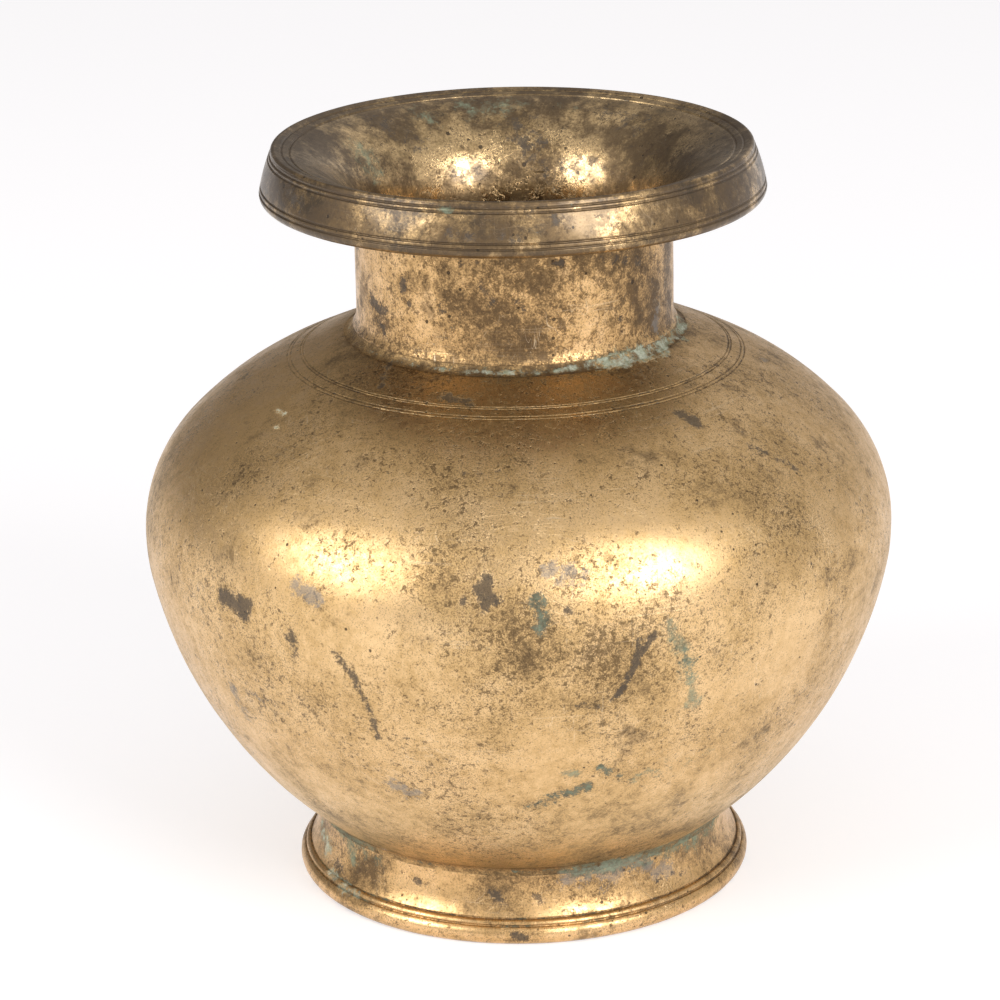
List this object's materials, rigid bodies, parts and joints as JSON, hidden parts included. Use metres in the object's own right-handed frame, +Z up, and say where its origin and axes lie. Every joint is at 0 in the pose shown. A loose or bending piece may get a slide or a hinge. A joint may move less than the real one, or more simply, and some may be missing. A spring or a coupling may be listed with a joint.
{
  "type": "kalash pot",
  "caption": "Round-bellied brass kalash pot with a straight neck, a wide flared mouth with a hanging moulded lip, and a low flared foot with a half-round moulding",
  "frame": {"origin": "centre of the standing ring of the foot, on the table", "axes": "+Z up along the axis of revolution; X and Y are any two directions across it, with -Y taken as the front"},
  "size_m": [0.19, 0.19, 0.1918],
  "materials": {
    "brass_rim": "old turned brass, dark olive bronze tarnish, satin",
    "brass_neck": "old brass, coppery gold with dark specks, satin",
    "brass_body": "old brass, olive gold with dark pits and stains, satin",
    "brass_foot": "old brass, warm coppery gold, satin",
    "spelter": "spelter joint under a dull green crust of verdigris"
  },
  "bodies": {
    "root": {"mouth_rim": "brass_rim", "rim_braze": "spelter", "neck_collar": "brass_neck", "neck_braze": "spelter", "upper_bowl": "brass_body", "belly_braze": "spelter", "lower_bowl": "brass_body", "foot_braze": "spelter", "foot_ring": "brass_foot"}
  },
  "joints": []
}
